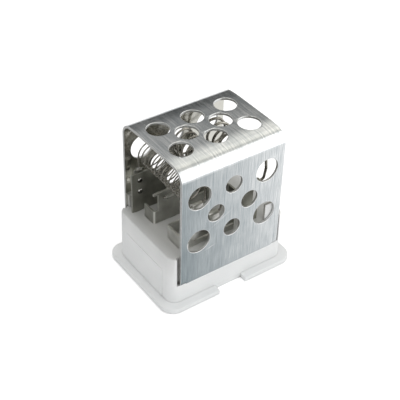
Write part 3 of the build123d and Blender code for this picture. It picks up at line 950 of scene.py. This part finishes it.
class GuardSettings(bpy.types.PropertyGroup):
    """Sizes and colours of the perforated guard"""

    sheet: length("Sheet", "Thickness of the aluminium sheet", 0.0011)
    bend: length("Bend radius", "Outer radius of the two folds", 0.006)
    edge_round: length("Edge rounding", "Radius that the press leaves on the cut edges", 0.0002)
    hole_pitch: length("Hole pitch", "Distance between holes along the guard", 0.0164)
    top_hole: length("Top hole", "Diameter of the holes in the top", 0.0096)
    top_row: length("Top row", "Distance from the middle of the top to its outer rows", 0.0081)
    corner_hole: length("Corner hole", "Diameter of the corner holes of the sides", 0.0108)
    inner_hole: length("Inner hole", "Diameter of the other holes of the sides", 0.008)
    hole_z: length("Hole height", "Height of the middle row of the sides", 0.0423)
    side_row: length("Side row", "Distance between the rows of the sides", 0.0109)
    stake_width: length("Stake width", "Width of the corners pressed into the base", 0.003)
    stake_height: length("Stake height", "Height of the corners pressed into the base", 0.0016)
    stake_push: length("Stake depth", "How far the corners are pressed in", 0.0005)
    draw_width: length("Drawn band", "Width of the top that curves before a fold", 0.006)
    draw_depth: length("Drawn depth", "How far that band is drawn down", 0.0003)
    hole_sides: IntProperty(name="Hole sides", description="Edges round a hole", default=64)
    bend_slices: IntProperty(name="Bend slices", description="Faces round a fold", default=14)
    grain_width: length("Grain width", "Width of the brush marks as drawn", 0.00024)
    metal_colour: colour("Metal", "Brushed face of the sheet", "#FCFDFD")
    groove_colour: colour("Grooves", "Bottom of the brush marks", "#C8CED1")
    # Painted shade on the sides: its share where it is darkest, and its grey tone
    side_shade: amount("Film", "Share of the handling film where it is thickest", 0.96)
    side_shade_colour: colour("Film colour", "Grey film from handling", "#8C979B")
    scratch_colour: colour("Scratches", "Bottom of the light scratches", "#E4E5E6")
    inner_colour: colour("Inner side", "Mill finish inside the guard", "#CFCEC6")
    inner_stain: colour("Inner stains", "Oil stains inside the guard", "#DBDAD3")
    edge_colour: colour("Cut edges", "Sheared edges and punched walls", "#EEEFEF")
    tear_colour: colour("Torn edges", "Duller torn part of the cut edges", "#C4C5C4")


class BaseSettings(bpy.types.PropertyGroup):
    """Colours and grain of the moulded base"""

    plastic_colour: colour("Plastic", "White of the moulding", "#E9EAEA")
    shade_colour: colour("Cloud", "Slightly greyer flow marks", "#E2E4E4")
    # Lighter tone of the edges, a painted highlight on edges that are also polished
    edge_colour: colour("Edges", "Polished edges", "#EFF0F0")
    # Painted shade in narrow gaps and inner corners: its dark grey
    gap_shade_colour: colour("Dust", "Grey dust in narrow gaps", "#55544F")
    # Painted shade under the guard, warm-tinted as a painted reflection of the metal
    guard_shade_colour: colour("Heat", "Tint of the plastic that the coils warm", "#A5A299")
    # How far that painted shade reaches out of inner corners and into gaps
    crease_shade_reach: length("Crease reach", "How far dirt creeps out of inner corners", 0.0006)
    gap_shade_reach: length("Dust reach", "Width of the gaps that hold dust", 0.002)
    skin_grain: length("Skin grain", "Grain of the spark-eroded mould", 0.0003)


class WiringSettings(bpy.types.PropertyGroup):
    """Colours of the coils, terminals and small metal pieces"""

    wire_colour: colour("Wire", "Drawn resistance wire", "#B9B6AE")
    oxide_colour: colour("Oxide", "Wire browned by heat", "#6A665E")
    # Three copies of the tinned strip in tones that stand in for light: painted light on the
    # near-left terminal, painted shade on the far terminals and the fuse link, and a middle tone
    # on the fuse terminal. The darkest tone also gives the dull blotches of the clips, the
    # cut-off's case and its leads.
    lit_tin: colour("Tin", "Clean tinned strip", "#DEDEDA")
    lit_tin_dull: colour("Dull tin", "Duller patches of the clean tin", "#B8B8B3")
    dull_and_shaded_strip: colour("Strip", "Tinned strip browned by the hot coils", "#9E9E95")
    shaded_strip_dull: colour("Dull strip", "Darker blotches in the tin", "#86867D")
    half_shaded_tin: colour("Warmed strip", "Tin of the terminal under the coils' near end", "#BBBBB5")
    half_shaded_tin_dull: colour("Dull warmed strip", "Darker blotches in that tin", "#96968F")
    # Lighter tone of the terminals' sheared edges, partly bare cut metal and partly painted
    # highlight, and a painted highlight along their upright bends
    strip_edge_and_highlight: colour("Strip edge", "Sheared edges and rubbed bends of the strip", "#F0F0EB")
    clip_colour: colour("Clips", "Bright tinned clips", "#A9A9A4")
    rivet_colour: colour("Rivets", "Plated rivet heads", "#DCDCD8")
    # Dark tone of the rivet heads, in blotches and along their rims and bends
    rivet_dark: colour("Dull rivets", "Browned parts of the rivet heads", "#3A3935")
    solder_colour: colour("Solder", "Frozen solder", "#ABABA7")
    solder_shade: colour("Solder frost", "Frosty patches of the solder", "#7C7C78")
    case_colour: colour("Cut-off case", "Plated brass case", "#B7A77A")
    resin_colour: colour("Resin", "Sealing resin", "#6B2A20")
    resin_shade: colour("Resin pits", "Darker pits of the resin", "#3B1410")
    copper_colour: colour("Leads", "Tinned copper leads", "#BBB7B2")


class StudioSettings(bpy.types.PropertyGroup):
    """Camera, floor and light"""

    azimuth: angle("Azimuth", "Camera's turn about Z", -36.2291)
    elevation: angle("Elevation", "Camera's height over the floor", 38.5456)
    roll: angle("Roll", "Camera's tilt", 1.7210)
    lens: amount("Lens", "Focal length in millimetres on a 36 mm sensor", 84.068)
    distance: length("Distance", "From the aim point to the camera", 0.442264)
    aim: FloatVectorProperty(
        name="Aim",
        description="Point at the middle of the picture",
        default=(0.0225325, 0.0319692, 0.0),
        subtype="TRANSLATION",
        unit="LENGTH",
    )
    floor_size: length("Floor", "Radius of the paper", 1.5)
    paper_colour: colour("Paper", "White of the floor's paper", "#FFFFFF")
    paper_shade: colour("Paper tooth", "Low spots in the paper's surface", "#FAFAFA")
    floor_lift: amount("Floor lift", "Glow of the paper for the camera", 0.32)
    world_light: amount("World light", "Strength of the soft light overhead", 0.93)
    wall_colour: colour("Walls", "Studio wall as metal mirrors it", "#FFFFFF")
    left_colour: colour("Left wall", "Left side of the studio as metal mirrors it", "#8C8C8A")
    ceiling_colour: colour("Ceiling", "Studio ceiling as metal mirrors it", "#C6C5BF")
    ceiling_start: amount("Ceiling start", "Height at which the ceiling starts", 0.60)
    ceiling_end: amount("Ceiling end", "Height at which the ceiling is at its own tone", 0.80)
    far_colour: colour("Far board", "Dim board behind the part as metal mirrors it", "#3C3D3C")
    fill_colour: colour("Low fill", "The soft light at the height of the floor", "#808080")
    far_start: amount("Far board start", "Cosine at which the far board starts", 0.77)
    far_end: amount("Far board end", "Cosine at which the far board is at its own tone", 0.90)
    far_heading: FloatVectorProperty(
        name="Far heading",
        description="Direction of the dim board",
        default=(0.60, 0.79, 0.1),
        subtype="DIRECTION",
    )


# Operators


class RESISTOR_OT_mould_base(bpy.types.Operator):
    """Give the moulded base its white nylon finish"""

    bl_idname = "resistor.mould_base"
    bl_label = "Mould base"

    def execute(self, context):
        looks = context.scene.resistor_base
        dress_nodes(moulded_nylon(looks), ["base_housing"])
        return {"FINISHED"}


class RESISTOR_OT_fold_guard(bpy.types.Operator):
    """Cut, round and fold the perforated guard in place of the CAD one"""

    bl_idname = "resistor.fold_guard"
    bl_label = "Fold guard"

    def execute(self, context):
        guard = build_guard(context.scene.resistor_guard)
        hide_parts("guard_cage")
        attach(guard, "root")
        return {"FINISHED"}


class RESISTOR_OT_wind_coils(bpy.types.Operator):
    """Give the three coils their resistance wire finish"""

    bl_idname = "resistor.wind_coils"
    bl_label = "Wind coils"

    def execute(self, context):
        looks = context.scene.resistor_wiring
        coils = ["fine_coil", "medium_coil", "heavy_coil"]
        dress_nodes(drawn_wire(looks), coils)
        return {"FINISHED"}


class RESISTOR_OT_stamp_terminals(bpy.types.Operator):
    """Give the stamped terminals and clips their tinned finish"""

    bl_idname = "resistor.stamp_terminals"
    bl_label = "Stamp terminals"

    def execute(self, context):
        looks = context.scene.resistor_wiring
        # Painted shade: the far terminals and the fuse link take the darkest copy of the strip
        browned = stamped_strip(
            "shaded_tinned_strip",
            face=looks.dull_and_shaded_strip,
            dull=looks.shaded_strip_dull,
            edge=looks.strip_edge_and_highlight,
            roughness=DULL_TIN,
        )
        shaded_terminals = ["far_left_terminal", "far_right_terminal", "fuse_link"]
        dress_nodes(browned, shaded_terminals)
        # The fuse terminal takes a lighter copy, between painted shade and painted light
        half_shaded = stamped_strip(
            "half_shaded_tinned_strip",
            face=looks.half_shaded_tin,
            dull=looks.half_shaded_tin_dull,
            edge=looks.strip_edge_and_highlight,
            roughness=DULL_TIN,
        )
        dress_nodes(half_shaded, ["fuse_terminal"])
        # Painted light: the near-left terminal takes the lightest copy
        tinned = stamped_strip(
            "lit_tinned_strip",
            face=looks.lit_tin,
            dull=looks.lit_tin_dull,
            edge=looks.strip_edge_and_highlight,
            roughness=MATT_TIN,
        )
        dress_nodes(tinned, ["near_left_terminal"])
        clip = stamped_strip(
            "bright_tinned_clip",
            face=looks.clip_colour,
            dull=looks.dull_and_shaded_strip,
            edge=looks.solder_colour,
            roughness=BRIGHT_TIN,
        )
        dress_nodes(clip, ["fine_lead_clip", "medium_lead_clip", "heavy_lead_clip"])
        return {"FINISHED"}


class RESISTOR_OT_join_leads(bpy.types.Operator):
    """Finish the rivets and the solder that hold the leads"""

    bl_idname = "resistor.join_leads"
    bl_label = "Join leads"

    def execute(self, context):
        looks = context.scene.resistor_wiring
        # The rivet heads are dark in blotches and along their rims and upright bends
        rivet = stamped_strip(
            "plated_rivet",
            face=looks.rivet_colour,
            dull=looks.rivet_dark,
            edge=looks.rivet_dark,
            roughness=POLISHED_PLATING,
        )
        dress_nodes(rivet, ["clip_rivets"])
        dress_nodes(soft_solder(looks), ["solder_beads"])
        return {"FINISHED"}


class RESISTOR_OT_fit_cutoff(bpy.types.Operator):
    """Finish the thermal cut-off, its seal and its leads"""

    bl_idname = "resistor.fit_cutoff"
    bl_label = "Fit cut-off"

    def execute(self, context):
        looks = context.scene.resistor_wiring
        case = stamped_strip(
            "plated_brass_case",
            face=looks.case_colour,
            dull=looks.dull_and_shaded_strip,
            edge=looks.solder_colour,
            roughness=SMOOTH_PLATING,
        )
        dress_nodes(case, ["cutoff_case"])
        dress_nodes(cast_resin(looks), ["cutoff_seal"])
        lead = stamped_strip(
            "tinned_copper_lead",
            face=looks.copper_colour,
            dull=looks.dull_and_shaded_strip,
            edge=looks.solder_colour,
            roughness=SMOOTH_PLATING,
        )
        dress_nodes(lead, ["cutoff_left_lead", "cutoff_right_lead"])
        return {"FINISHED"}


class RESISTOR_OT_set_studio(bpy.types.Operator):
    """Set the camera, the paper floor and the soft light"""

    bl_idname = "resistor.set_studio"
    bl_label = "Set studio"

    def execute(self, context):
        studio = context.scene.resistor_studio
        build_floor(studio)
        build_world(studio)
        build_camera(studio)
        middle = Vector((0, 0, (GUARD_HIGH.z + GUARD_LOW.z) / 2))
        for lamp in STUDIO_LAMPS:
            add_softbox(lamp[0], middle, *lamp[1:])
        context.scene.view_settings.view_transform = "Standard"
        return {"FINISHED"}


class RESISTOR_PT_panel(bpy.types.Panel):
    """Lists the resistor's pieces and settings"""

    bl_idname = "RESISTOR_PT_panel"
    bl_label = "Blower Motor Resistor"
    bl_space_type = "VIEW_3D"
    bl_region_type = "UI"
    bl_category = "Resistor"

    def draw(self, context):
        for group in SETTINGS:
            settings = getattr(context.scene, group)
            box = self.layout.box()
            for name in settings.__annotations__:
                box.prop(settings, name)
        for operator in OPERATORS:
            self.layout.operator(operator.bl_idname)


OPERATORS = (
    RESISTOR_OT_mould_base,
    RESISTOR_OT_fold_guard,
    RESISTOR_OT_wind_coils,
    RESISTOR_OT_stamp_terminals,
    RESISTOR_OT_join_leads,
    RESISTOR_OT_fit_cutoff,
    RESISTOR_OT_set_studio,
)
SETTINGS = {
    "resistor_base": BaseSettings,
    "resistor_guard": GuardSettings,
    "resistor_wiring": WiringSettings,
    "resistor_studio": StudioSettings,
}


def register():
    for group in SETTINGS.values():
        bpy.utils.register_class(group)
    for name, group in SETTINGS.items():
        setattr(bpy.types.Scene, name, PointerProperty(type=group))
    for operator in OPERATORS:
        bpy.utils.register_class(operator)
    bpy.utils.register_class(RESISTOR_PT_panel)


def unregister():
    bpy.utils.unregister_class(RESISTOR_PT_panel)
    for operator in reversed(OPERATORS):
        bpy.utils.unregister_class(operator)
    for name in SETTINGS:
        delattr(bpy.types.Scene, name)
    for group in SETTINGS.values():
        bpy.utils.unregister_class(group)


def main():
    """Registers the add-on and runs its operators."""
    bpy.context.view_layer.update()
    register()
    bpy.ops.resistor.mould_base()
    bpy.ops.resistor.fold_guard()
    bpy.ops.resistor.wind_coils()
    bpy.ops.resistor.stamp_terminals()
    bpy.ops.resistor.join_leads()
    bpy.ops.resistor.fit_cutoff()
    bpy.ops.resistor.set_studio()


if __name__ == "__main__":
    main()
